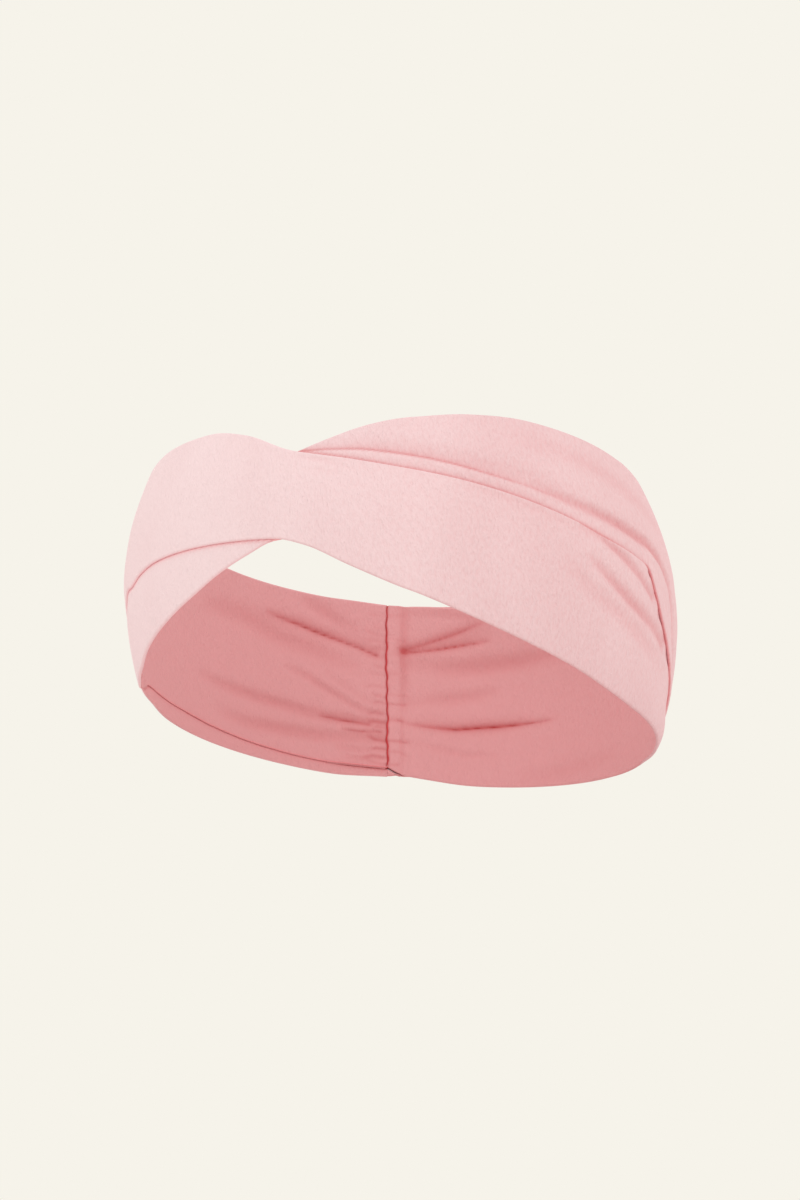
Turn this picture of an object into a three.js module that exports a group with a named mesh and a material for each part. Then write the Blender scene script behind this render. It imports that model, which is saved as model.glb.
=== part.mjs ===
// Crossover-front sports headband, shown at its worn size, standing on its lower edge.
// Millimetres, +Z up. The front crossing faces -Y and the gathered back seam is at +Y.
// Two double-layer strands go right round. Each is a face panel and a lining panel, sewn
// along both long edges and turned, so that the stitching is hidden inside the strand.
import * as THREE from "three";

// ---- Ring: the outer surface of the band ----
const HALF_WIDTH = 80.7;
const HALF_DEPTH = 97.6;
const PLAN_POWER = 2.2; // 2 is an ellipse, more is squarer at the corners
const WIDEST_HEIGHT = 33.5;
const TAPER_SPAN = 40; // height over which the two tapers below are measured
const TOP_TAPER = 12; // how far the band draws in above its widest height
const BOTTOM_TAPER = 8.2; // how far it draws in below
const LEAN = -0.087; // sideways lean for each millimetre of height
const LEAN_HEIGHT = 38.5; // height at which the leaning band is centred
const CENTRE_X = -0.86; // puts the origin under the middle of the finished band's box

// ---- Cloth and gaps ----
const CLOTH = 0.65; // one ply of peached jersey
const POCKET = 0.8; // room inside a strand for its turned edge seams
const CLEARANCE = 0.3;
const STRAND = 2 * CLOTH + POCKET;
const INNER_LAYER = STRAND + CLEARANCE + 0.05; // how far in the inner strand lies
const LINING_SET_BACK = 0.5; // the face rolls over the lining by this much at each edge

// ---- Back seam ----
const SEAM_GAP = 0.45; // degrees from the seam line to each strand end
const SEAM_STITCHING = { width: 0.5, bottom: 4.8, top: 55.5 };
const ELASTIC = { near: 0.8, far: 4.5, thickness: 1, bottom: 7, top: 53 }; // degrees, mm
const SEAM_BULGE = ELASTIC.thickness + CLEARANCE; // the inner strand clears the elastic
const SEAM_BULGE_HALF = 6; // degrees of full bulge each side of the seam
const SEAM_BULGE_FADE = 10; // degrees over which it dies away

// ---- Hidden edge seams ----
const EDGE_SEAM = { inset: 1.4, width: 1.2, thickness: 0.3 };

// ---- Crossing ----
// Right of the front the two strands change places. There the upper edge of the front strand
// and the lower edge of the rear strand run side by side, [angle, height], with a fine gap.
const CHANGE_START = 50;
const CHANGE_END = 61;
const CHANGE_GAP = 0.6;
const CHANGE_LINE = [[50, 40.4], [54.5, 39.8], [58, 33.2], [61, 28.9]];
const SETTLE_END = 130; // from here back the rear strand lies flush and the front one inside it

// Edge heights by angle round the ring: 0 is the front, 90 the wearer's left, +-180 the seam.
const beside = (side) => CHANGE_LINE.map(([a, h]) => [a, h + (side * CHANGE_GAP) / 2]);
const FRONT_STRAND = {
  name: "front_strand",
  upper: [
    [-180, 56], [-150, 56.2], [-120, 57.8], [-90, 58.4], [-75, 58.7], [-62, 59.4],
    [-46, 59.4], [-35, 57], [-22, 51.3], [-10, 49.3], [10, 46.7], [30, 43.4],
    ...beside(-1), [70, 30], [85, 44], [105, 55], [130, 58.2], [150, 58.6], [168, 58.2],
    [180, 57],
  ],
  lower: [
    [-180, 1.4], [-168, 0], [-112, 0], [-104, 0.6], [-98, 1.6], [-94, 3.5], [-90.5, 12],
    [-87, 19.5], [-82, 21], [-75, 21.8], [-67.6, 24], [-60, 24.9], [-40, 25.5],
    [-25, 25.8], [-19, 24.3], [-10, 19.4], [0, 14.5], [10, 10.4], [21, 6.9], [33, 4],
    [50, 0.8], [60, 0], [105, 0], [120, 0.5], [140, 0.9], [160, 1.1], [170, 1.8],
    [176, 2.4], [180, 4.4],
  ],
};
const REAR_STRAND = {
  name: "rear_strand",
  upper: [
    [-180, 56.6], [-150, 56.7], [-120, 57.4], [-90, 58], [-60, 57], [-40, 53], [-30, 50],
    [-24, 49.4], [-20, 51.3], [-15, 55.2], [-8, 60.1], [0, 64.4], [10, 67.8], [25, 70.2],
    [50, 70.9], [75, 70.3], [95, 68.3], [120, 64.5], [150, 60.1], [168, 59], [180, 57.6],
  ],
  lower: [
    [-180, 4.2], [-167, 3.7], [-151, 4.3], [-134, 5.6], [-122, 6.4], [-111, 6],
    [-101, 5], [-96, 2.4], [-91, 0], [-80, 0], [-71, 3.2], [-61, 6.6], [-53, 9.9],
    [-46, 13.3], [-41, 16.3], [-35, 19.8], [-31, 22], [-26.6, 24.6], [-20, 26.5],
    [-5, 30], [15, 33.5], [35, 38.5], ...beside(1), [72, 17.5], [80, 11.5], [88, 7],
    [98, 3], [112, 2], [150, 2], [170, 2.6], [176, 2.9], [180, 1.8],
  ],
};

const RAD = Math.PI / 180;
const smoothstep = (t) => THREE.MathUtils.smoothstep(t, 0, 1);

// Height at an angle on a smooth curve through [angle, height] stations. Slopes are limited
// so that the curve never swings past a station.
function heightAt(stations, angle) {
  const last = stations.length - 2;
  let i = 0;
  while (i < last && angle > stations[i + 1][0]) i += 1;
  const rise = (k) =>
    (stations[k + 1][1] - stations[k][1]) / (stations[k + 1][0] - stations[k][0]);
  const slope = (k) => {
    if (k === 0) return rise(0);
    if (k === stations.length - 1) return rise(k - 1);
    const [before, after] = [rise(k - 1), rise(k)];
    return before * after <= 0 ? 0 : (2 * before * after) / (before + after);
  };
  const [a0, h0] = stations[i];
  const [a1, h1] = stations[i + 1];
  const span = a1 - a0;
  const t = THREE.MathUtils.clamp((angle - a0) / span, 0, 1);
  const [t2, t3] = [t * t, t * t * t];
  return (
    h0 * (2 * t3 - 3 * t2 + 1) + h1 * (3 * t2 - 2 * t3) +
    span * (slope(i) * (t3 - 2 * t2 + t) + slope(i + 1) * (t3 - t2))
  );
}

// A point of the band: angle round the ring, height, and distance in from the outer surface.
function bandPoint(angle, height, inward) {
  const from = (height - WIDEST_HEIGHT) / TAPER_SPAN;
  const taper = (from > 0 ? TOP_TAPER : BOTTOM_TAPER) * from * from;
  const [sin, cos] = [Math.sin(angle * RAD), Math.cos(angle * RAD)];
  const power = (value, exponent) => Math.sign(value) * Math.abs(value) ** exponent;
  const halfWidth = HALF_WIDTH - taper;
  const halfDepth = HALF_DEPTH - taper;
  const x = halfWidth * power(sin, 2 / PLAN_POWER);
  const y = -halfDepth * power(cos, 2 / PLAN_POWER);
  const normal = new THREE.Vector2(
    power(x / halfWidth, PLAN_POWER - 1) / halfWidth,
    power(y / halfDepth, PLAN_POWER - 1) / halfDepth,
  ).normalize();
  return [
    CENTRE_X + x - normal.x * inward + LEAN * (height - LEAN_HEIGHT),
    y - normal.y * inward,
    height,
  ];
}

// The inner strand stands further in at the back seam, where the elastic lies outside it.
function innerLayer(angle) {
  const toSeam = 180 - Math.abs(angle);
  const fade = smoothstep((toSeam - SEAM_BULGE_HALF) / SEAM_BULGE_FADE);
  return INNER_LAYER + SEAM_BULGE * (1 - fade);
}

// The front strand is outside from the seam round to the change, then passes inside the rear
// strand. Both give way by half a layer at the change and settle back behind it.
const swapAt = (angle) => smoothstep((angle - CHANGE_START) / (CHANGE_END - CHANGE_START));
const settleAt = (angle) => smoothstep((angle - CHANGE_END) / (SETTLE_END - CHANGE_END));
FRONT_STRAND.inward = (angle) =>
  innerLayer(angle) * (0.5 * swapAt(angle) + 0.5 * settleAt(angle));
REAR_STRAND.inward = (angle) =>
  innerLayer(angle) * (1 - 1.5 * swapAt(angle) + 0.5 * settleAt(angle));

// Angles of the cross-sections: stretches of even steps, closer together where an edge is steep.
const STRETCHES = [
  { to: -175, steps: 1 }, { to: -102, steps: 10 }, { to: -82, steps: 10 },
  { to: -32, steps: 8 }, { to: 46, steps: 16 }, { to: 64, steps: 12 }, { to: 112, steps: 12 },
  { to: 175, steps: 9 }, { to: 180 - SEAM_GAP, steps: 1 },
];

function stationAngles() {
  const angles = [-180 + SEAM_GAP];
  for (const { to, steps } of STRETCHES) {
    const from = angles.at(-1);
    for (let i = 1; i <= steps; i += 1) angles.push(THREE.MathUtils.lerp(from, to, i / steps));
  }
  return angles;
}

// A closed sheet: a grid of outer points and a grid of inner points, joined round the rim.
// grid(column, row) gives the pair of points there.
function closedSheet(columns, rows, grid) {
  const positions = [];
  for (let c = 0; c < columns; c += 1) {
    for (let r = 0; r < rows; r += 1) {
      const [outer, inner] = grid(c, r);
      positions.push(...outer, ...inner);
    }
  }
  const outer = (c, r) => 2 * (c * rows + r);
  const inner = (c, r) => outer(c, r) + 1;
  const index = [];
  const quad = (a, b, c, d) => index.push(a, b, c, a, c, d);
  for (let c = 0; c < columns - 1; c += 1) {
    for (let r = 0; r < rows - 1; r += 1) {
      quad(outer(c, r), outer(c + 1, r), outer(c + 1, r + 1), outer(c, r + 1));
      quad(inner(c, r), inner(c, r + 1), inner(c + 1, r + 1), inner(c + 1, r));
    }
    quad(outer(c, 0), inner(c, 0), inner(c + 1, 0), outer(c + 1, 0));
    const top = rows - 1;
    quad(outer(c, top), outer(c + 1, top), inner(c + 1, top), inner(c, top));
  }
  for (let r = 0; r < rows - 1; r += 1) {
    quad(outer(0, r), outer(0, r + 1), inner(0, r + 1), inner(0, r));
    const end = columns - 1;
    quad(outer(end, r), inner(end, r), inner(end, r + 1), outer(end, r + 1));
  }
  const geometry = new THREE.BufferGeometry();
  geometry.setAttribute("position", new THREE.Float32BufferAttribute(positions, 3));
  geometry.setIndex(index);
  geometry.computeVertexNormals();
  return geometry;
}

const MIDDLE_STEPS = 6; // rows of facets between the two edge seams

// Heights of the rows across a strand. Two rows at each edge are those of the hidden seam,
// so that the seam lies parallel to both panels.
function rowHeights(strand, angle, setBack) {
  const low = heightAt(strand.lower, angle);
  const high = heightAt(strand.upper, angle);
  const near = EDGE_SEAM.inset;
  const far = EDGE_SEAM.inset + EDGE_SEAM.width;
  const middle = Array.from({ length: MIDDLE_STEPS - 1 }, (_, i) =>
    THREE.MathUtils.lerp(low + far, high - far, (i + 1) / MIDDLE_STEPS));
  return [
    low + setBack, low + near, low + far, ...middle, high - far, high - near, high - setBack,
  ];
}

const ANGLES = stationAngles();

// One ply of a strand, depth in from the strand's own outer surface.
function strandPly(strand, rows, depth, thickness) {
  const table = ANGLES.map(rows);
  return closedSheet(ANGLES.length, table[0].length, (c, r) => {
    const height = table[c][r];
    const inward = strand.inward(ANGLES[c]) + depth;
    return [
      bandPoint(ANGLES[c], height, inward),
      bandPoint(ANGLES[c], height, inward + thickness),
    ];
  });
}

const headband = new THREE.Group();

function addPiece(name, geometry, color, roughness) {
  const material = new THREE.MeshStandardMaterial({ color, roughness, metalness: 0 });
  const mesh = new THREE.Mesh(geometry, material);
  mesh.name = name;
  headband.add(mesh);
}

// ---- Two strands: face, lining and the stitching of both edge seams ----
for (const strand of [FRONT_STRAND, REAR_STRAND]) {
  const face = strandPly(strand, (a) => rowHeights(strand, a, 0), 0, CLOTH);
  addPiece(`${strand.name}_face`, face, 0xf1cfd0, 0.9);
  const liningRows = (a) => rowHeights(strand, a, LINING_SET_BACK);
  const lining = strandPly(strand, liningRows, CLOTH + POCKET, CLOTH);
  addPiece(`${strand.name}_lining`, lining, 0xd98f8f, 0.92);
  const seamDepth = CLOTH + (POCKET - EDGE_SEAM.thickness) / 2;
  const lowerRows = (a) => rowHeights(strand, a, 0).slice(1, 3);
  const upperRows = (a) => rowHeights(strand, a, 0).slice(-3, -1);
  const lowerSeam = strandPly(strand, lowerRows, seamDepth, EDGE_SEAM.thickness);
  addPiece(`${strand.name}_lower_edge_stitching`, lowerSeam, 0xe6b5b5, 0.7);
  const upperSeam = strandPly(strand, upperRows, seamDepth, EDGE_SEAM.thickness);
  addPiece(`${strand.name}_upper_edge_stitching`, upperSeam, 0xe6b5b5, 0.7);
}

// A strip that runs up the back seam, from one side to the other as sides(height, inward)
// gives them, and depth to depth + thickness in from the outer surface.
function seamStrip({ bottom, top }, depth, thickness, sides) {
  const rows = 9;
  return closedSheet(2, rows, (c, r) => {
    const height = THREE.MathUtils.lerp(bottom, top, r / (rows - 1));
    return [sides(height, depth)[c], sides(height, depth + thickness)[c]];
  });
}

// ---- Back seam: the row of stitches through every ply, and the elastic that gathers it ----
const throughEveryPly = INNER_LAYER + SEAM_BULGE + STRAND;
const stitchingSides = (height, inward) => {
  const [x, y, z] = bandPoint(180, height, inward);
  const half = SEAM_STITCHING.width / 2;
  return [[x + half, y, z], [x - half, y, z]];
};
const stitching = seamStrip(SEAM_STITCHING, 0, throughEveryPly, stitchingSides);
addPiece("back_seam_stitching", stitching, 0xb35a5a, 0.7);

const elasticSides = (height, inward) =>
  [ELASTIC.far, ELASTIC.near].map((angle) => bandPoint(180 - angle, height, inward));
const elastic = seamStrip(ELASTIC, STRAND + CLEARANCE, ELASTIC.thickness, elasticSides);
addPiece("back_gathering_elastic", elastic, 0xf2e6e2, 0.85);

export default headband;
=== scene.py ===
import math

import bpy
import numpy as np
from mathutils import Matrix, Vector


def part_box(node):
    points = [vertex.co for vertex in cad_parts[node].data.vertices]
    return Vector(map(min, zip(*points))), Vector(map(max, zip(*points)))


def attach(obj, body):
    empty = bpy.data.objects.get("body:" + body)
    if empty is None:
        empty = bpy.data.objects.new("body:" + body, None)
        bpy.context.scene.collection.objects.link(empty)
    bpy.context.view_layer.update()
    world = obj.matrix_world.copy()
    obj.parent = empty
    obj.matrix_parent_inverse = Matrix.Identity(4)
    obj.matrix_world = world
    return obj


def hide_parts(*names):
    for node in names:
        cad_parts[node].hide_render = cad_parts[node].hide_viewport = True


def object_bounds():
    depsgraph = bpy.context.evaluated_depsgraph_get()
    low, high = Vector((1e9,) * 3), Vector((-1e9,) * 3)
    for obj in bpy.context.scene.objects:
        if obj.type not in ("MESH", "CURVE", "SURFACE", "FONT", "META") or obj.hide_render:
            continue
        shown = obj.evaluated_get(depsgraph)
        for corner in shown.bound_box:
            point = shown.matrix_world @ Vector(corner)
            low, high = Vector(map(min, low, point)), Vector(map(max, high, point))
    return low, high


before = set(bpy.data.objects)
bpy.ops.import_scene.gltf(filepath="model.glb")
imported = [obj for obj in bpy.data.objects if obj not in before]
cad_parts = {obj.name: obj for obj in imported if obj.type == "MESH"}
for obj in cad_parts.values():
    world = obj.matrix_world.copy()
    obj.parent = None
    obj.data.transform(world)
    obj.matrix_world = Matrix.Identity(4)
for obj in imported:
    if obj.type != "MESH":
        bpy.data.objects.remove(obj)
cad_low, cad_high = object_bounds()

# ---- Camera ----
# A long lens 1.1 m in front of the band, below its lower edge and looking up at the crossing.
# The head it is shown on leans, so the camera is rolled against that lean.
LENS = 112.5
CAMERA_DISTANCE = 1.1
LOOK_UP = math.radians(14.4)
ROLL = math.radians(7)
AIM_HEIGHT = 0.0385
AIM_DROP = 0.0025
AIM_LEFT = 0.0003
MIDDLE_SHIFT = 0.00086
look = Vector((0, math.cos(LOOK_UP), math.sin(LOOK_UP)))
level_right = Vector((1, 0, 0))
level_up = level_right.cross(look)
camera_right = level_right * math.cos(ROLL) + level_up * math.sin(ROLL)
camera_up = level_up * math.cos(ROLL) - level_right * math.sin(ROLL)
middle_x = (cad_low.x + cad_high.x) / 2 - MIDDLE_SHIFT
aim = Vector((middle_x, 0, AIM_HEIGHT)) - camera_up * AIM_DROP - camera_right * AIM_LEFT
camera_data = bpy.data.cameras.new("camera")
camera_data.lens = LENS
camera = bpy.data.objects.new("camera", camera_data)
bpy.context.scene.collection.objects.link(camera)
turn = Matrix((camera_right, camera_up, -look)).transposed().to_4x4()
camera.matrix_world = Matrix.Translation(aim - look * CAMERA_DISTANCE) @ turn
bpy.context.scene.camera = camera

# ---- The ring that the cloth lies on ----
# Both strands are shaped to one oval ring, as wide as the head and drawn in at both edges.
# Angles go round the ring in degrees: 0 at the front, 90 on the side where the rear strand
# comes over the front strand, and 180 and -180 at the back seam. Lengths are in millimetres.
MM = 0.001
PLAN_POWER = 2.2
HALF_DEPTH = (cad_high.y - cad_low.y) / 2 / MM
HALF_WIDTH = (cad_high.x - cad_low.x) / 2 / MM - 0.6
CENTRE_X = -0.86
WIDEST_HEIGHT = 33.5
TAPER_SPAN = 40
TOP_TAPER = 12
BOTTOM_TAPER = 8.2
LEAN = -0.087
LEAN_HEIGHT = 38.5


def signed_power(value, exponent):
    """A power that keeps the sign of its base."""
    return np.sign(value) * np.abs(value) ** exponent


def ring_point(angle, height, inward):
    """Points of the band in metres, inward millimetres in from its outer surface."""
    from_widest = (height - WIDEST_HEIGHT) / TAPER_SPAN
    taper = np.where(from_widest > 0, TOP_TAPER, BOTTOM_TAPER) * from_widest**2
    turn_angle = np.radians(angle)
    half_width, half_depth = HALF_WIDTH - taper, HALF_DEPTH - taper
    x = half_width * signed_power(np.sin(turn_angle), 2 / PLAN_POWER)
    y = -half_depth * signed_power(np.cos(turn_angle), 2 / PLAN_POWER)
    normal_x = signed_power(x / half_width, PLAN_POWER - 1) / half_width
    normal_y = signed_power(y / half_depth, PLAN_POWER - 1) / half_depth
    length = np.hypot(normal_x, normal_y)
    x = CENTRE_X + x - normal_x / length * inward + LEAN * (height - LEAN_HEIGHT)
    y = y - normal_y / length * inward
    return np.stack([x, y, height], -1) * MM


def height_at(stations, angle):
    """Heights on a smooth curve through (angle, height) stations, never past a station."""
    at, heights = np.array(stations, float).T
    rise = np.diff(heights) / np.diff(at)
    before, after = rise[:-1], rise[1:]
    same_way = before * after > 0
    total = np.where(same_way, before + after, 1)
    inner = np.where(same_way, 2 * before * after / total, 0)
    slope = np.concatenate([rise[:1], inner, rise[-1:]])
    i = np.clip(np.searchsorted(at, angle) - 1, 0, len(rise) - 1)
    span = at[i + 1] - at[i]
    t = np.clip((angle - at[i]) / span, 0, 1)
    on_heights = heights[i] * (2 * t**3 - 3 * t**2 + 1) + heights[i + 1] * (3 * t**2 - 2 * t**3)
    on_slopes = slope[i] * (t**3 - 2 * t**2 + t) + slope[i + 1] * (t**3 - t**2)
    return on_heights + span * on_slopes


def smoothstep(t):
    t = np.clip(t, 0, 1)
    return t * t * (3 - 2 * t)


# ---- Where the strands run ----
# Each strand is cut wide, scrunched narrow at the crossing and gathered at the back seam.
# At 55 degrees the front strand's upper edge slips behind the rear strand's lower edge.
CHANGE_ANGLE, CHANGE_HALF = 55.6, 1.7
FRONT_UPPER = [
    (-180, 56), (-150, 56.2), (-120, 57.8), (-90, 58.4), (-75, 58.7), (-62, 59.4),
    (-46, 59.4), (-35, 57), (-22, 51), (-10, 49.2), (8, 46.9), (20, 45), (33, 42.7),
    (44, 40.9), (52, 39.9), (55.6, 39.3), (58.5, 36.5), (62, 33), (70, 32), (85, 44),
    (105, 55), (130, 58.2), (150, 58.6), (168, 58.2), (180, 56.8),
]
FRONT_LOWER = [
    (-180, 1.4), (-168, 0), (-112, 0), (-104, 0.6), (-98, 1.6), (-94, 3.5), (-90.5, 14),
    (-88.5, 19), (-87, 20.8), (-84, 22.3), (-79.5, 23.4), (-75, 22.8), (-67.6, 24), (-60, 24.9),
    (-40, 25.5),
    (-25, 25.8), (-19, 24.3), (-10, 19.4), (0, 14.5), (10, 10.4), (21, 6.9), (33, 4),
    (50, 0.8), (60, 0), (105, 0), (120, 0.5), (140, 0.9), (160, 1.1), (170, 1.8),
    (176, 2.4), (178.4, 3.2), (180, 4.6),
]
REAR_UPPER = [
    (-180, 56.9), (-150, 56.8), (-120, 57.4), (-90, 58), (-60, 57), (-40, 53), (-30, 50),
    (-24, 50.4), (-20, 52.9), (-15, 56), (-8, 60.4), (0, 64.4), (10, 67.8), (25, 70.2),
    (50, 70.9), (75, 70.3), (95, 68.3), (120, 64.5), (150, 60.1), (168, 58.8), (180, 57),
]
REAR_LOWER = [
    (-180, 4.2), (-167, 3.7), (-151, 4.3), (-134, 5.6), (-122, 6.5), (-111, 6.5),
    (-101, 5.8), (-96, 3.2), (-91, 0.9), (-80, 1), (-71, 3.4), (-61, 6.8), (-53, 10.1),
    (-46, 13.5), (-41, 16.5), (-35, 20), (-31, 22.3), (-26.6, 25), (-20, 27),
    (-5, 30), (15, 33.5), (35, 36.5), (48, 37.6), (53, 38.8), (55.6, 39.5), (57.6, 35.8),
    (60, 31.9), (63.4, 27.2), (67.8, 23), (74, 18), (81, 13.6), (88, 9), (99, 3), (112, 2),
    (150, 2), (170, 2.6), (176, 2.9), (180, 1.6),
]
CLOTH = 0.42
POCKET = 0.12
STRAND = 2 * CLOTH + POCKET
LAYER = STRAND + 0.08
SEAM_BULGE = 1.3
SEAM_BULGE_HALF, SEAM_BULGE_FADE = 6, 10
CROSSING = -23


def inner_layer(angle):
    """How far inside the outer strand the inner strand lies."""
    to_seam = 180 - np.abs(angle)
    return LAYER + SEAM_BULGE * (1 - smoothstep((to_seam - SEAM_BULGE_HALF) / SEAM_BULGE_FADE))


def bump(value, middle, width):
    """1 at middle, falling off to both sides."""
    return np.exp(-(((value - middle) / width) ** 2))


def eased(distance, reach):
    """1 where one strand covers the other, easing to 0 with distance past the edge."""
    return np.exp(-((np.maximum(distance, 0) / reach) ** 2))


def change(angle):
    """0 before the strands change places, 1 after."""
    return smoothstep((angle - CHANGE_ANGLE + CHANGE_HALF) / (2 * CHANGE_HALF))


def front_rest(angle, height):
    """The front strand where nothing covers it: it puffs out over its lower left edge."""
    puff = 0.6 * bump(angle, -86, 24) * bump(height, 28, 8)
    flare = 1.3 * bump(angle, 88, 20) * bump(height, 3, 5)
    high = 0.5 * bump(angle, -88, 26) * smoothstep((height - 40) / 14)
    below = smoothstep((height_at(REAR_LOWER, angle) - height + 0.35) / 0.6)
    level = (inner_layer(angle) + 0.1) * below * smoothstep((-96 - angle) / 8)
    return high + level - puff - flare


def rear_rest(angle, height):
    """The rear strand where nothing covers it."""
    left = 0.45 - 0.85 * smoothstep((-38 - angle) / 34)
    crest = 0.25 * bump(height - height_at(REAR_LOWER, angle), 1.6, 2.2)
    right = 0.1 - (0.25 + crest) * change(angle) * (1 - smoothstep((angle - 84) / 40))
    below = smoothstep((height_at(FRONT_LOWER, angle) - height) / 0.9)
    foot = (inner_layer(angle) - 0.1) * below * smoothstep((angle - 174) / 4)
    return np.where(angle < CROSSING, left, right + foot)


def parted(height):
    """Where the slit under the rear strand's lower edge stands open."""
    return bump(height, 37.8, 1.0) + bump(height, 28, 1.4) + bump(height, 20, 1.6)


def front_inward(angle, height):
    """The front strand lies outside, then sinks under the rear strand's lower edge."""
    edge = height_at(REAR_LOWER, angle)
    under = rear_rest(angle, np.maximum(height, edge)) + inner_layer(angle)
    press = 0.5 * smoothstep((edge - height + 0.45) / 0.8) * (1 - parted(height)) * (angle > 0)
    press = press * (1 - smoothstep((angle - 79) / 8))
    under = under - press
    covered = change(angle) * eased(edge - height, 3.4)
    rest = front_rest(angle, height)
    return rest + (under - rest) * covered


def rear_inward(angle, height):
    """The rear strand lies inside, easing out where the front strand doesn't cover it."""
    low, high = height_at(FRONT_LOWER, angle), height_at(FRONT_UPPER, angle)
    under = front_rest(angle, np.clip(height, low, high)) + inner_layer(angle)
    under = under - 0.52 * smoothstep((low - height + 0.45) / 0.8) * (angle < CROSSING)
    left = eased(low - height, 3.2 + 5 * smoothstep((angle + 60) / 30))
    covered = np.where(angle < CROSSING, left, eased(height - high, 9)) * (1 - change(angle))
    rest = rear_rest(angle, height)
    return rest + (under - rest) * covered


# ---- Folds, creases and gathers, and the painted shade in them ----
# The back seam gathers every ply, so folds run out from it and die away along the sides.
# A fold is a line of (angle, height) points with its width and depth, sharp or soft.
ARC = 1.55


def fold(angle, height, line, width, depth, sharp=False, start=0.0, end=0.0):
    """Depth of one fold at each place. start and end are the shares of the depth at its ends."""
    x, y = angle * ARC, height
    px, py = np.array([(a * ARC, h) for a, h in line], float).T
    lengths = np.hypot(np.diff(px), np.diff(py))
    total, walked = lengths.sum(), 0.0
    nearest = np.full(np.shape(x), 1e9)
    along = np.zeros(np.shape(x))
    for i, length in enumerate(lengths):
        dx, dy = (px[i + 1] - px[i]) / length, (py[i + 1] - py[i]) / length
        t = np.clip((x - px[i]) * dx + (y - py[i]) * dy, 0, length)
        distance = np.hypot(x - px[i] - t * dx, y - py[i] - t * dy)
        closer = distance < nearest
        nearest = np.where(closer, distance, nearest)
        along = np.where(closer, (walked + t) / total, along)
        walked += length
    fade = np.sin(np.pi * along) ** 0.6
    fade = np.maximum(fade, np.where(along < 0.5, start, end))
    shape = np.exp(-nearest / width) if sharp else bump(nearest, 0, width)
    return depth * fade * shape


# Gathers seen from inside: each is a valley that starts at or near the seam.
GATHERS = [
    # (line, width, depth, sharp, share of depth kept at the start)
    ([(-178.2, 41.2), (-174, 42.9), (-167, 45.1), (-160, 46.9), (-150, 48.4)], 0.55, 0.9, True, 0.8),
    ([(-178, 41.6), (-170, 44.4), (-160, 46.4), (-148, 46.8)], 2.4, 0.7, False, 0.7),
    ([(-176, 34.5), (-164, 39.6), (-155, 41.2), (-144, 44.6), (-130, 43.5)], 3.2, 1.0, False, 0.2),
    ([(-179, 19.4), (-174, 18.9), (-166, 18.9), (-158, 20.0), (-145, 20.6), (-130, 21.6)],
     1.8, 1.2, False, 0.8),
    ([(-176.5, 18.4), (-171, 18.6), (-165, 19.2)], 0.5, 0.7, True, 0.9),
    ([(-179, 14.2), (-173, 13.2), (-166, 12.4), (-158, 12.0), (-145, 11.2), (-136, 12)],
     2.0, 1.2, False, 0.8),
    ([(-178.6, 22.2), (-176, 22.2), (-172, 24.6), (-168, 27.2), (-163, 30.5), (-156, 33)],
     1.2, 0.9, False, 0.9),
    ([(-179, 24.6), (-175.5, 26.2), (-171, 29.8), (-166, 34)], 1.4, 0.4, False, 0.7),
    ([(-173, 47.4), (-167, 50.9), (-159, 54.5)], 2.0, 0.8, False, 0.4),
    ([(-178.8, 16.4), (-174.5, 15.6), (-170, 15.7)], 0.5, 0.55, True, 0.9),
    ([(-179, 10.4), (-174, 9.4), (-168, 9.4)], 1.1, 0.7, False, 0.8),
    ([(-178.8, 7.2), (-175, 6.4), (-170, 6.4)], 0.9, 0.6, False, 0.9),
    ([(177.6, 43.7), (174, 45.7), (170.5, 48), (167, 50.2), (163, 52.8), (159, 55)],
     0.8, 0.75, True, 0.8),
    ([(177.4, 43), (174, 43.9), (170.5, 45.1), (167.9, 46.2), (164, 47.6), (158, 49)],
     0.55, 0.8, True, 0.8),
    ([(176.6, 43.3), (167, 46.6), (158, 51)], 2.4, 0.6, False, 0.9),
    ([(176, 39.2), (168, 39.2), (157, 41.2), (146, 43.3), (136, 43.5)], 2.8, 1.3, False, 0.5),
    ([(178.3, 20.9), (177, 20.2), (175.6, 20), (172, 19.8), (167, 19.9), (161, 21.1),
      (151, 22.3), (141, 23.4)], 0.6, 1.1, True, 0.25),
    ([(174, 21), (166, 20.2), (158, 21.2), (148, 23)], 2.4, 0.8, False, 0.4),
    ([(176, 26.8), (171, 28.4), (164, 30.4), (156, 33)], 2.0, 0.8, False, 0.6),
    ([(150, 4.5), (140, 5.4), (126, 7.2), (116, 9.0)], 2.6, 0.5, False, 0.1),
    ([(177, 14.2), (172, 13.2), (164, 11.6), (155, 11.6)], 1.2, 0.5, False, 0.6),
    ([(176, 54.5), (168, 55.6), (160, 55)], 1.4, 0.4, False, 0.5),
]
# Short puckers where each stitch of the seam draws the cloth in.
pucker_dice = np.random.default_rng(7)
PUCKERS = []
for side in (-1, 1):
    at = 5.5
    while at < 55:
        deep = 0.14 + 0.24 * bump(at, 15, 12)
        reach = pucker_dice.uniform(1.4, 4.8 if side < 0 else 3.4)
        drop = pucker_dice.uniform(-1.2, 1.2)
        line = [(179.7, at), (179.2 - reach / 2, at + 0.2), (179.2 - reach, at + drop)]
        PUCKERS.append(([(side * a, h) for a, h in line], pucker_dice.uniform(0.4, 0.65),
                        deep * pucker_dice.uniform(0.5, 1.1), False, 0.9))
        at += pucker_dice.uniform(1.6, 4.2) if side < 0 else pucker_dice.uniform(3, 7.5)


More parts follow.
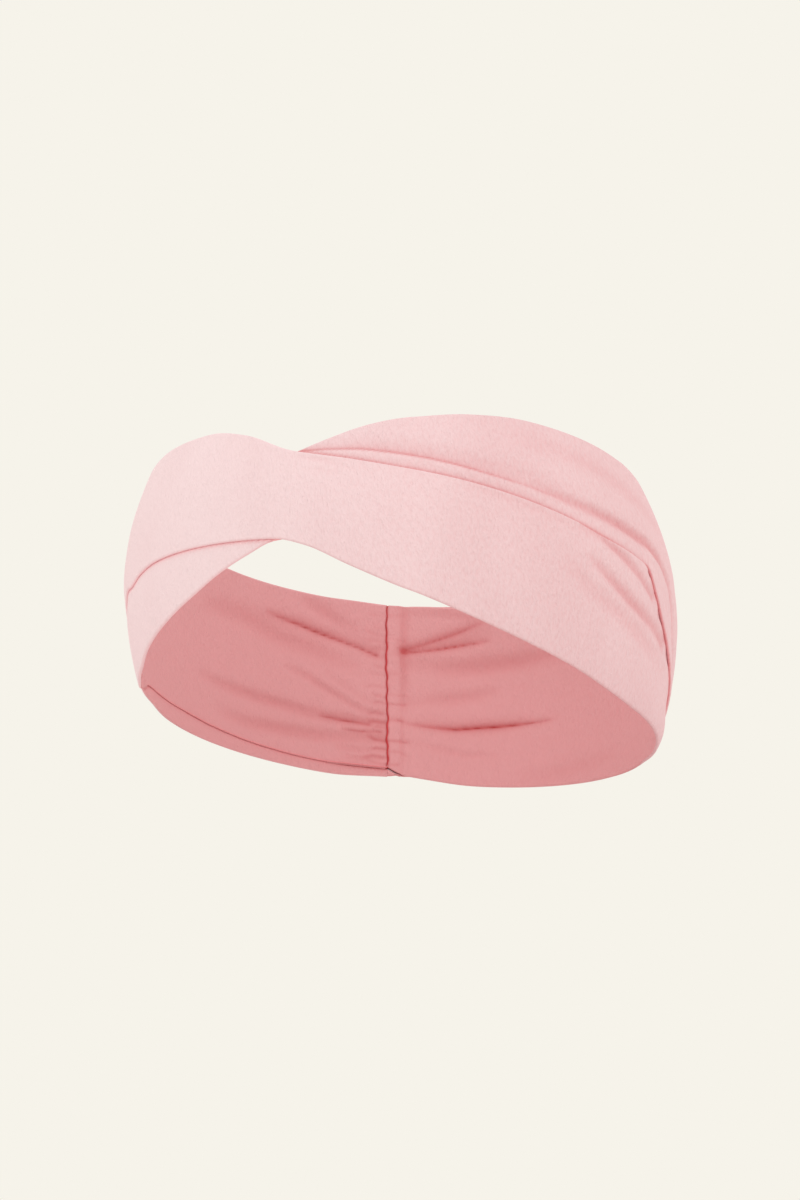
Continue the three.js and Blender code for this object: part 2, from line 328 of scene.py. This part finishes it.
def gather_depth(angle, height):
    """How far the gathered cloth stands outward of the plain ring, and how much painted shade its
    valleys get.
    """
    depth = np.zeros(np.shape(angle))
    crease_shade = np.zeros(np.shape(angle))
    for line, width, amount, sharp, kept in GATHERS + PUCKERS:
        one = fold(angle, height, line, width, amount, sharp, start=kept)
        depth += one
        # Painted shade: each fold's valley darkens the colour, the sharp and narrow ones most.
        crease_shade += np.clip(one, 0, None) * (0.8 if sharp else 1.0 if width < 0.7 else 0.15)
    from_seam = (180 - np.abs(angle)) * ARC
    side = np.sign(angle)
    depth += 0.3 * np.sin(height / 4.3 + side) * np.exp(-from_seam / 22)
    # Painted shade along the valley beside the rib, on the upper back.
    upper = smoothstep((height - 22) / 14) * (angle > 150)
    crease_shade += 0.15 * bump((180 - angle) * ARC, 4.6, 1.2) * upper
    return depth, np.clip(crease_shade, 0, 1)


def rib_depth(angle, height):
    """The flat rib over the elastic and the seam allowance, on one side of the seam."""
    from_seam = (180 - angle) * ARC
    rib = 1 - smoothstep((from_seam - 2.9) / 1.5)
    valley = bump(from_seam, 5.2, 1.3)
    ticks = 0.12 * bump(height % 8.6, 4.3, 0.5) * rib
    return (0.45 * valley - 0.6 * rib + ticks) * (angle > 150)


FRONT_FOLDS = [
    ([(35, 34.5), (42, 30.2), (48, 27.2), (55, 24.9), (61, 23.4), (66, 21.4)],
     1.9, 1.15, False, 0.0, 0.8),
    ([(33, 42.6), (39, 41.3), (42, 39.8), (48, 37.2), (53, 34.8), (58, 31.6)],
     1.5, 1.0, False, 0.0, 0.9),
    ([(28, 31), (37, 25.2), (48, 20.8), (58, 17.6), (68, 15.0)], 2.8, 0.5, False, 0.0, 0.3),
    ([(-21, 49.3), (-16, 48.1), (-10, 46.2)], 0.9, 0.2, False, 0.2, 0.0),
    ([(-19, 45.6), (-12, 44.6)], 0.8, 0.14, False, 0.2, 0.1),
    ([(-24, 49), (-17, 48.8), (-8, 48.2)], 0.45, 0.12, True, 0.5, 0.1),
    ([(8, 45.2), (18, 43.6), (30, 41.2), (42, 39)], 1.4, 0.25, False, 0.0, 0.2),
]
# The rear strand's pleat runs just above the front strand's upper edge, then turns down
# beside the slit as a deep soft fold.
REAR_FOLDS = [
    ([(22, 49.6), (33, 48.3), (46, 47.4), (56, 46.6), (63, 44.4), (68, 39.6), (70.6, 33),
      (72.6, 26), (76, 19)], 1.7, 1.25, False, 0.0, 0.4),
    ([(-19, 52.8), (-8, 54), (6, 53.4), (20, 52), (34, 51)], 3.0, 0.35, False, 0.3, 0.2),
    ([(18, 63.5), (31, 63.0), (43, 62.0), (58, 58.5), (70, 55)], 3.2, 0.4, False, 0.0, 0.0),
    ([(78, 40), (82, 30), (88, 20), (96, 12)], 2.4, 0.5, False, 0.2, 0.1),
    ([(74, 46), (86, 38), (100, 30)], 3.0, 0.45, False, 0.1, 0.0),
]
PLEAT_LINE = [(-22, 51.2), (-13, 52.3), (-8, 52.7), (-2, 52.5), (6, 51.6), (14, 50.2), (24, 48.9),
              (40, 47), (60, 45)]


def own_folds(strand_name, angle, height):
    """Folds of one strand alone: valleys in its outer side, so they go inward, with painted shade in
    them.
    """
    depth = np.zeros(np.shape(angle))
    folds = FRONT_FOLDS if strand_name == "front_strand" else REAR_FOLDS
    for line, width, amount, sharp, start, end in folds:
        depth += fold(angle, height, line, width, amount, sharp, start, end)
    # Painted shade: a share of each fold's depth darkens its colour.
    crease_shade = depth * 0.3
    if strand_name == "rear_strand":
        above = height - height_at(PLEAT_LINE, angle)
        there = smoothstep((angle + 24) / 3) * (1 - smoothstep((angle - 4) / 34))
        behind = smoothstep((above + 0.3) / 0.6) * np.exp(-np.maximum(above, 0) / 4.5)
        depth = depth + there * (0.75 * behind - 0.35 * bump(above, -1.4, 1.3))
        # Painted shade: a dark line just above the pleat, where the cloth turns behind it.
        line = 0.6 * np.where(above > 0, np.exp(-above / 0.6), bump(above, 0, 0.3))
        crease_shade = crease_shade + there * line
    return depth, np.clip(crease_shade, 0, 1)


def contact_shade(strand_name, lining, angle, height):
    """Painted shade: how deep in the shade of the other strand's edge the cloth lies, and a little
    along its own lower rim.
    """
    front_low, front_high = height_at(FRONT_LOWER, angle), height_at(FRONT_UPPER, angle)
    rear_low = height_at(REAR_LOWER, angle)
    own_low = front_low if strand_name == "front_strand" else rear_low
    rim = np.exp(-np.maximum(height - own_low, 0) / 0.22)
    if strand_name == "front_strand":
        under = np.exp(-np.abs(rear_low - height) / 0.55)
        open_slit = change(angle) * (1 - 0.6 * parted(height)) * (not lining)
        return 0.2 * rim * (angle > -96) + under * np.where(
            angle > 0, open_slit, 0.3 * (angle < -96) * lining)
    rim = rim * np.where(angle > 0, 0.2 + 0.3 * change(angle), 0.2)
    if lining:
        return rim
    below = 0.35 * np.exp(-np.maximum(front_low - height - 0.2, 0) / 0.4) * (angle < CROSSING)
    above = 0.5 * np.exp(-np.maximum(height - front_high - 0.3, 0) / 0.6) * (angle > CROSSING)
    return rim + (below + above) * (1 - change(angle))


# ---- Cloth panels ----
# A strand is a tube of brushed nylon and elastane jersey: a face and a lining of one cut,
# seamed along both edges and turned. The seam rolls inside at the front and sides, and lies
# on the crest of the edge at the back.
# Stretches of the panel in degrees, each with the step between its columns.
STRETCHES = [
    (-179.6, 0.1), (-174, 0.3), (-150, 0.6), (-98, 1.7), (-82, 0.55), (-64, 1.0), (-24, 1.5),
    (36, 1.0), (50, 0.7), (60, 0.3), (78, 0.6), (102, 0.9), (150, 2.1), (174, 0.6), (179.6, 0.3),
    (180, 0.1),
]
SEAM_GAP = 0.004
ROLL_ROWS = 4
FLAT_ROWS = 100


def panel_angles():
    """Angles of the columns of a panel, closer where the cloth has more detail."""
    angles = [-180 + SEAM_GAP]
    for to, step in STRETCHES:
        to = min(to, 180 - SEAM_GAP)
        count = max(1, round((to - angles[-1]) / step))
        angles += list(np.linspace(angles[-1], to, count + 1)[1:])
    return np.array(angles)


def seam_shift(angle, height):
    """Degrees by which the seam leans to one side of the middle of the back."""
    near = 1 - smoothstep((180 - np.abs(angle)) / 24)
    return (0.12 + 0.0195 * height - 0.12 * bump(height, 22, 14)) * near


def strand_place(strand_name, angle, height, depth):
    """Place of a strand's cloth, with its folds, depth millimetres in from its outer side, and the
    painted shade of its gathers and folds.
    """
    shared, gather_shade = gather_depth(angle, height)
    own, fold_shade = own_folds(strand_name, angle, height)
    lie = front_inward if strand_name == "front_strand" else rear_inward
    plain = lie(angle, height)
    inward = plain + own - shared - rib_depth(angle, height) + depth
    to_seam = (180 - np.abs(angle)) * ARC
    tuck = np.exp(-to_seam / 0.16) * smoothstep((height - 3.4) / 1.4)
    middle = (STRAND + inner_layer(angle)) / 2
    inward = inward + (middle - inward) * 0.85 * tuck
    wander = 0.07 * np.sin(height / 1.9) + 0.07 * np.sin(height / 0.73 + 1)
    lean = seam_shift(angle, height) + wander * np.exp(-to_seam / 3)
    return angle + lean, inward, gather_shade, np.clip(fold_shade, 0, 1), tuck


def panel_rows(angles, low, high, lining):
    """Height and depth of each row across a panel: part of a roll, the flat, and the other."""
    radius = STRAND / 2
    back = smoothstep((np.abs(angles) - np.where(angles < 0, 86, 96)) / 8)
    seam = np.radians(-75 + 90 * back)
    if lining:
        bends = [seam + (-np.pi / 2 - seam) * k / ROLL_ROWS for k in range(ROLL_ROWS)]
        flat_depth = STRAND
    else:
        bends = [seam + (np.pi / 2 - seam) * k / ROLL_ROWS for k in range(ROLL_ROWS)]
        flat_depth = 0
    lower = [(low + radius * (1 - np.cos(b)), radius * (1 - np.sin(b))) for b in bends]
    flat = [(low + radius + (high - low - 2 * radius) * (k / FLAT_ROWS) ** 1.2,
             flat_depth + 0 * low) for k in range(FLAT_ROWS + 1)]
    upper = [(high - radius * (1 - np.cos(b)), radius * (1 - np.sin(b))) for b in bends[::-1]]
    rows = lower + flat + upper
    return np.stack([h for h, _ in rows], 1), np.stack([d for _, d in rows], 1)


def grid_mesh(name, places, flip=False):
    """A mesh of a grid of points, columns first."""
    columns, rows = places.shape[:2]
    index = np.arange(columns * rows).reshape(columns, rows)
    corners = [index[:-1, :-1], index[1:, :-1], index[1:, 1:], index[:-1, 1:]]
    if flip:
        corners = corners[::-1]
    faces = np.stack(corners, -1).reshape(-1, 4)
    mesh = bpy.data.meshes.new(name)
    mesh.from_pydata(places.reshape(-1, 3).tolist(), [], faces.tolist())
    piece = bpy.data.objects.new(name, mesh)
    bpy.context.scene.collection.objects.link(piece)
    mesh.shade_smooth()
    return piece


def add_cloth_map(piece, along, across):
    """UV map cloth: metres along and across the panel."""
    layer = piece.data.uv_layers.new(name="cloth")
    vertex = np.zeros(len(piece.data.loops), np.int32)
    piece.data.loops.foreach_get("vertex_index", vertex)
    uv = np.stack([along.ravel()[vertex], across.ravel()[vertex]], -1) * MM
    layer.data.foreach_set("uv", uv.astype(np.float32).ravel())


def add_mark(piece, name, values):
    attribute = piece.data.attributes.new(name, "FLOAT", "POINT")
    attribute.data.foreach_set("value", values.astype(np.float32).ravel())


def apply_modifier(piece, kind, **settings):
    modifier = piece.modifiers.new(kind.lower(), kind)
    for key, value in settings.items():
        setattr(modifier, key, value)
    bpy.ops.object.select_all(action="DESELECT")
    bpy.context.view_layer.objects.active = piece
    piece.select_set(True)
    bpy.ops.object.modifier_apply(modifier=modifier.name)
    piece.select_set(False)


def make_panel(name, strand_name, lining):
    """One ply of one strand, with its marks for painted shade, for stretch and painted side light,
    and for painted glow.
    """
    angles = panel_angles()
    upper, lower = STRANDS[strand_name]
    low, high = height_at(lower, angles), height_at(upper, angles)
    height, depth = panel_rows(angles, low, high, lining)
    angle = np.repeat(angles[:, None], height.shape[1], 1)
    moved, inward, gather_shade, fold_shade, tuck = strand_place(strand_name, angle, height, depth)
    piece = grid_mesh(name, ring_point(moved, height, inward), flip=lining)
    add_cloth_map(piece, angle * ARC, height)
    # Painted shade: fold valleys, the other strand's edge, the seam tuck and the plies hidden in the
    # seam groove darken the cloth's colour.
    seen = gather_shade if lining else fold_shade
    shade = contact_shade(strand_name, lining, angle, height)
    hidden_side = -1 if lining == (strand_name == "front_strand") else 1
    # Painted shade of the seam groove on the plies that face into it.
    seam_groove_shade = (angle * hidden_side > 0) * smoothstep((height - 4.5) / 1.5)
    seam_groove_shade = seam_groove_shade * (1 - smoothstep(((180 - np.abs(angle)) * ARC - 1) / 1))
    add_mark(piece, "crease_shade", np.clip(seen + shade + 0.85 * tuck + seam_groove_shade, 0, 1))
    # Painted glow: a faint red emission along the edges where the layers meet, standing in for light
    # through the cloth.
    edge = lower if strand_name == "rear_strand" else REAR_LOWER
    by_edge = np.exp(-np.abs(height - height_at(edge, angle)) / 0.6)
    by_edge = np.maximum(by_edge, angle < CROSSING) * (1 - 0.5 * (angle > CROSSING))
    share = 0.35 if lining and strand_name == "rear_strand" else 1
    add_mark(piece, "painted_glow", np.clip(shade * by_edge * share, 0, 1))
    # Paler on the left side and at the back right: partly the stretched knit, partly painted light
    # from the key on the left.
    stretch_and_side_light = 1 - smoothstep((angle + 55) / 92) + smoothstep((angle - 120) / 60)
    add_mark(piece, "stretch_and_side_light", stretch_and_side_light)
    apply_modifier(piece, "SOLIDIFY", thickness=CLOTH * MM, offset=-1, use_even_offset=False)
    return piece


# ---- Jersey ----
# Brushed jersey: a very fine raised nap over a fine knit, matt, with a soft sheen at glancing
# light. The face is light pink, and the lining a deeper dusty rose, partly its own colour and
# partly painted shade of the ring's inside. Where two layers meet, a faint red glow is painted
# in as emission, standing in for light coming through the cloth.
class Signal:
    """An output in a shader tree. Arithmetic on signals adds Math nodes."""

    def __init__(self, socket):
        self.socket = socket

    @staticmethod
    def node(tree, kind, settings, inputs, output=0):
        made = tree.nodes.new(kind)
        for key, value in settings.items():
            setattr(made, key, value)
        for key, value in inputs.items():
            if isinstance(value, Signal):
                tree.links.new(value.socket, made.inputs[key])
            else:
                made.inputs[key].default_value = value
        return Signal(made.outputs[output])

    def math(self, operation, first, second):
        tree = self.socket.id_data
        return Signal.node(tree, "ShaderNodeMath", {"operation": operation}, {0: first, 1: second})

    def __add__(self, other):
        return self.math("ADD", self, other)

    def __mul__(self, other):
        return self.math("MULTIPLY", self, other)

    def __sub__(self, other):
        return self.math("SUBTRACT", self, other)

    def __rsub__(self, other):
        return self.math("SUBTRACT", other, self)

    __radd__ = __add__
    __rmul__ = __mul__


def mixed(tree, share, first, second):
    """A colour between two colours."""
    settings = {"data_type": "RGBA"}
    return Signal.node(tree, "ShaderNodeMix", settings, {"Factor": share, 6: first, 7: second}, 2)


def new_material(name):
    material = bpy.data.materials.new(name)
    material.use_nodes = True
    tree = material.node_tree
    return material, tree, tree.nodes["Principled BSDF"]


def jersey(name, plain, pale, deep, grain, sheen):
    """Jersey: plain where it is scrunched, paler where it is stretched and where painted key light
    falls, darkened toward the deep colour by painted shade and by its grain.
    """
    material, tree, shader = new_material(name)
    cloth = Signal.node(tree, "ShaderNodeUVMap", {"uv_map": "cloth"}, {})

    def noise(scale, turn_angle, stretch, detail=2.0, rough=0.5):
        place = {"Vector": cloth, "Rotation": (0, 0, math.radians(turn_angle)),
                 "Scale": (1, stretch, 1)}
        spot = Signal.node(tree, "ShaderNodeMapping", {}, place)
        inputs = {"Vector": spot, "Scale": scale, "Detail": detail, "Roughness": rough}
        return Signal.node(tree, "ShaderNodeTexNoise", {"noise_dimensions": "2D"}, inputs)

    nap = noise(1100, 28, 0.5, 3.0, 0.6)
    knit = noise(2400, 0, 0.4, 1.0)
    cloud = noise(38, 20, 0.6, 2.0)
    crease_shade = Signal.node(tree, "ShaderNodeAttribute", {"attribute_name": "crease_shade"}, {}, "Fac")
    stretch_and_side_light = Signal.node(
        tree, "ShaderNodeAttribute", {"attribute_name": "stretch_and_side_light"}, {}, "Fac"
    )
    lift = stretch_and_side_light + (cloud - 0.5) * 0.5
    colour = mixed(tree, lift, (*plain, 1), (*pale, 1))
    pores = (0.6 - nap) * grain * (1 - stretch_and_side_light * 0.8)
    # Painted shade: the crease mark darkens the colour toward the deep red; the grain's pores use the
    # same colour.
    colour = mixed(tree, crease_shade + pores, colour, (*deep, 1))
    tree.links.new(colour.socket, shader.inputs["Base Color"])
    # Painted glow: the cloth emits a faint red light in the glow mark, though it is no lamp.
    painted_glow = Signal.node(tree, "ShaderNodeAttribute", {"attribute_name": "painted_glow"}, {}, "Fac")
    painted_glow_colour = mixed(tree, painted_glow, (0, 0, 0, 1), (0.22, 0.012, 0.014, 1))
    tree.links.new(painted_glow_colour.socket, shader.inputs["Emission Color"])
    shader.inputs["Emission Strength"].default_value = 1
    rough = 0.78 + nap * 0.2
    tree.links.new(rough.socket, shader.inputs["Roughness"])
    surface = nap * 0.7 + knit * 0.3
    bump = Signal.node(
        tree, "ShaderNodeBump", {}, {"Strength": 0.8, "Distance": 0.0006, "Height": surface}
    )
    tree.links.new(bump.socket, shader.inputs["Normal"])
    shader.inputs["Specular IOR Level"].default_value = 0.06
    shader.inputs["Sheen Weight"].default_value = sheen
    shader.inputs["Sheen Roughness"].default_value = 0.5
    shader.inputs["Sheen Tint"].default_value = (1.0, 0.72, 0.76, 1)
    return material


# Colours: plain; pale where the cloth is stretched and where painted key light falls; deep, the
# colour of painted shade and of the grain's pores.
face_jersey = jersey(
    "face_jersey", (0.835, 0.575, 0.61), (0.945, 0.745, 0.79), (0.66, 0.10, 0.11), 0.35, 0.06
)
# The lining's deeper rose is partly its own colour and partly painted shade of the inside of the
# ring.
lining_jersey = jersey(
    "lining_jersey", (0.815, 0.425, 0.45), (0.825, 0.435, 0.46), (0.58, 0.06, 0.065), 0.25, 0.04
)

# ---- The two strands ----
# Front strand: it comes from the upper left, passes over the crossing and drops to the right.
# Rear strand: it rises behind the crossing and comes over the front strand on the right.
STRANDS = {
    "front_strand": (FRONT_UPPER, FRONT_LOWER),
    "rear_strand": (REAR_UPPER, REAR_LOWER),
}
for strand_name in STRANDS:
    for ply, lining, material in (
        ("face", False, face_jersey), ("lining", True, lining_jersey)
    ):
        panel = make_panel(f"{strand_name}_{ply}_cloth", strand_name, lining)
        panel.data.materials.append(material)
        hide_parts(f"{strand_name}_{ply}")
        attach(panel, "root")

# ---- Hidden edge seams ----
# Overlock thread along both edges of each strand. It joins face and lining, and is inside once
# the strand is turned.
EDGE_INSET, EDGE_WIDTH = 1.2, 1.0
thread_material, tree, shader = new_material("edge_thread")
twist = Signal.node(tree, "ShaderNodeTexCoord", {}, {}, "Object")
ply = Signal.node(
    tree, "ShaderNodeTexNoise", {}, {"Vector": twist, "Scale": 2400.0, "Detail": 2.0}
)
colour = mixed(tree, ply, (0.70, 0.40, 0.41, 1), (0.84, 0.56, 0.57, 1))
tree.links.new(colour.socket, shader.inputs["Base Color"])
shader.inputs["Roughness"].default_value = 0.6
for strand_name, (upper, lower) in STRANDS.items():
    angles = panel_angles()[2:-2:2]
    for edge_name, stations, away in (("lower", lower, 1), ("upper", upper, -1)):
        line = height_at(stations, angles)
        first, last = line + away * EDGE_INSET, line + away * (EDGE_INSET + EDGE_WIDTH)
        zigzag = 0.2 * np.sin(np.arange(len(angles)) * 1.3)
        low_row, high_row = np.minimum(first, last), np.maximum(first, last)
        height = np.stack([low_row, (low_row + high_row) / 2 + zigzag, high_row], 1)
        angle = np.repeat(angles[:, None], 3, 1)
        moved, inward, *_ = strand_place(strand_name, angle, height, CLOTH + 0.08)
        tape = grid_mesh(
            f"{strand_name}_{edge_name}_edge_thread", ring_point(moved, height, inward)
        )
        apply_modifier(tape, "SOLIDIFY", thickness=0.12 * MM, offset=-1)
        tape.data.materials.append(thread_material)
        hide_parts(f"{strand_name}_{edge_name}_edge_stitching")
        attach(tape, "root")

# ---- Back seam stitching ----
# One row of lockstitch in dark rose thread through every ply. It draws the cloth into a narrow
# tuck and is seen on the inside and on the outside.
STITCH = 2.6
THREAD_RADIUS = 0.16
seam_thread, tree, shader = new_material("seam_thread")
twist = Signal.node(tree, "ShaderNodeTexCoord", {}, {}, "Object")
ply = Signal.node(
    tree, "ShaderNodeTexWave", {"bands_direction": "DIAGONAL"},
    {"Vector": twist, "Scale": 900.0, "Distortion": 1.0},
)
colour = mixed(tree, ply, (0.32, 0.06, 0.065, 1), (0.47, 0.12, 0.13, 1))
tree.links.new(colour.socket, shader.inputs["Base Color"])
shader.inputs["Roughness"].default_value = 0.55


def thread_tube(name, path, radius, sides=8):
    """A closed tube round a path of points in metres."""
    path = np.array(path)
    tangent = np.gradient(path, axis=0)
    tangent /= np.linalg.norm(tangent, axis=1)[:, None]
    side = np.cross(tangent, (0, 1, 0))
    side /= np.linalg.norm(side, axis=1)[:, None]
    other = np.cross(tangent, side)
    round_angle = np.linspace(0, 2 * np.pi, sides, endpoint=False)
    ring = (np.cos(round_angle)[None, :, None] * side[:, None, :]
            + np.sin(round_angle)[None, :, None] * other[:, None, :])
    points = path[:, None, :] + radius * ring
    index = np.arange(len(path) * sides).reshape(len(path), sides)
    after = np.roll(index, -1, 1)
    faces = np.stack([index[:-1], after[:-1], after[1:], index[1:]], -1).reshape(-1, 4).tolist()
    faces += [index[0].tolist()[::-1], index[-1].tolist()]
    mesh = bpy.data.meshes.new(name)
    mesh.from_pydata(points.reshape(-1, 3).tolist(), [], faces)
    mesh.shade_smooth()
    piece = bpy.data.objects.new(name, mesh)
    bpy.context.scene.collection.objects.link(piece)
    return piece


height = np.arange(6.5, 55.5, 0.25)
beat = np.abs(np.sin(np.pi * height / STITCH)) ** 0.5
seam_angle = np.full(len(height), 180.0)
threads = []
for row_name, strand_name, depth, sink in (
    ("inside", "front_strand", STRAND, 0.35), ("outside", "rear_strand", 0, -0.35)
):
    moved, inward, *_ = strand_place(strand_name, seam_angle, height, depth)
    drawn = inward - sink * (1.6 - beat)
    threads.append(thread_tube(
        f"back_seam_{row_name}_thread", ring_point(moved, height, drawn), THREAD_RADIUS * MM
    ))
for thread in threads:
    thread.data.materials.append(seam_thread)
    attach(thread, "root")
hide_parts("back_seam_stitching")

# ---- Gathering elastic ----
# Braided elastic tape, sewn beside the seam between the outer and the inner strand. It makes
# the flat rib that shows on the inside.
elastic_material, tree, shader = new_material("elastic_tape")
place = Signal.node(tree, "ShaderNodeTexCoord", {}, {}, "Object")
braid = Signal.node(
    tree, "ShaderNodeTexWave", {"bands_direction": "X"},
    {"Vector": place, "Scale": 350.0, "Distortion": 0.6, "Detail": 1.0},
)
colour = mixed(tree, braid, (0.80, 0.72, 0.70, 1), (0.90, 0.85, 0.83, 1))
tree.links.new(colour.socket, shader.inputs["Base Color"])
shader.inputs["Roughness"].default_value = 0.75
elastic_low, elastic_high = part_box("back_gathering_elastic")
height = np.linspace(elastic_low.z / MM, elastic_high.z / MM, 90)
angles = 180 - np.linspace(4.5, 0.9, 9)
grid_angle = np.repeat(angles[:, None], len(height), 1)
grid_height = np.repeat(height[None, :], len(angles), 0)
ripple = 0.06 * np.sin(grid_height * 2.2)
moved, inward, *_ = strand_place("rear_strand", grid_angle, grid_height, STRAND + 0.12 + ripple)
elastic = grid_mesh("back_gathering_elastic_tape", ring_point(moved, grid_height, inward))
apply_modifier(elastic, "SOLIDIFY", thickness=0.7 * MM, offset=-1)
elastic.data.materials.append(elastic_material)
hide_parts("back_gathering_elastic")
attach(elastic, "root")

# ---- Floor ----
# A plain pale table top under the band. It is seen from above only, so that the band can be
# seen from below.
bpy.ops.object.select_all(action="DESELECT")
bpy.ops.mesh.primitive_circle_add(vertices=96, radius=3, fill_type="NGON", location=(0, 0, -0.0004))
floor = bpy.context.object
floor.name = "floor"
floor_material, tree, shader = new_material("floor_paint")
shader.inputs["Base Color"].default_value = (0.36, 0.352, 0.33, 1)
shader.inputs["Emission Color"].default_value = (1.0, 0.98, 0.93, 1)
shader.inputs["Emission Strength"].default_value = 0.55
shader.inputs["Roughness"].default_value = 0.9
shader.inputs["Specular IOR Level"].default_value = 0.1
from_below = Signal.node(tree, "ShaderNodeNewGeometry", {}, {}, "Backfacing")
clear = Signal.node(tree, "ShaderNodeBsdfTransparent", {}, {})
paint = Signal(shader.outputs["BSDF"])
both = Signal.node(tree, "ShaderNodeMixShader", {}, {0: from_below, 1: paint, 2: clear})
tree.links.new(both.socket, tree.nodes["Material Output"].inputs["Surface"])
floor.data.materials.append(floor_material)

# ---- Light ----
# An even cream surround, with broad soft lights from the front left and the front right, one
# into the ring from above, and one behind.
bpy.context.scene.view_settings.view_transform = "Standard"
world = bpy.data.worlds.new("surround")
world.use_nodes = True
surround = world.node_tree.nodes["Background"]
surround.inputs["Color"].default_value = (0.922, 0.896, 0.823, 1)
surround.inputs["Strength"].default_value = 1.0
bpy.context.scene.world = world


def soft_light(name, place, size, power, tint=(1, 1, 1)):
    data = bpy.data.lights.new(name, "AREA")
    data.size = size
    data.energy = power
    data.color = tint
    light = bpy.data.objects.new(name, data)
    bpy.context.scene.collection.objects.link(light)
    light.location = place
    light.rotation_euler = (Vector((0, 0, 0.035)) - Vector(place)).to_track_quat("-Z", "Y").to_euler()


soft_light("key", (-1.1, -1.0, 0.7), 0.7, 1.9, (0.94, 0.98, 1.0))
soft_light("fill", (1.1, -0.8, 0.2), 0.7, 2.4, (0.94, 0.98, 1.0))
soft_light("inner", (0.1, -0.5, 0.9), 0.5, 1.0, (0.96, 0.98, 1.0))
soft_light("back", (0.2, 1.3, 0.8), 1.0, 3)
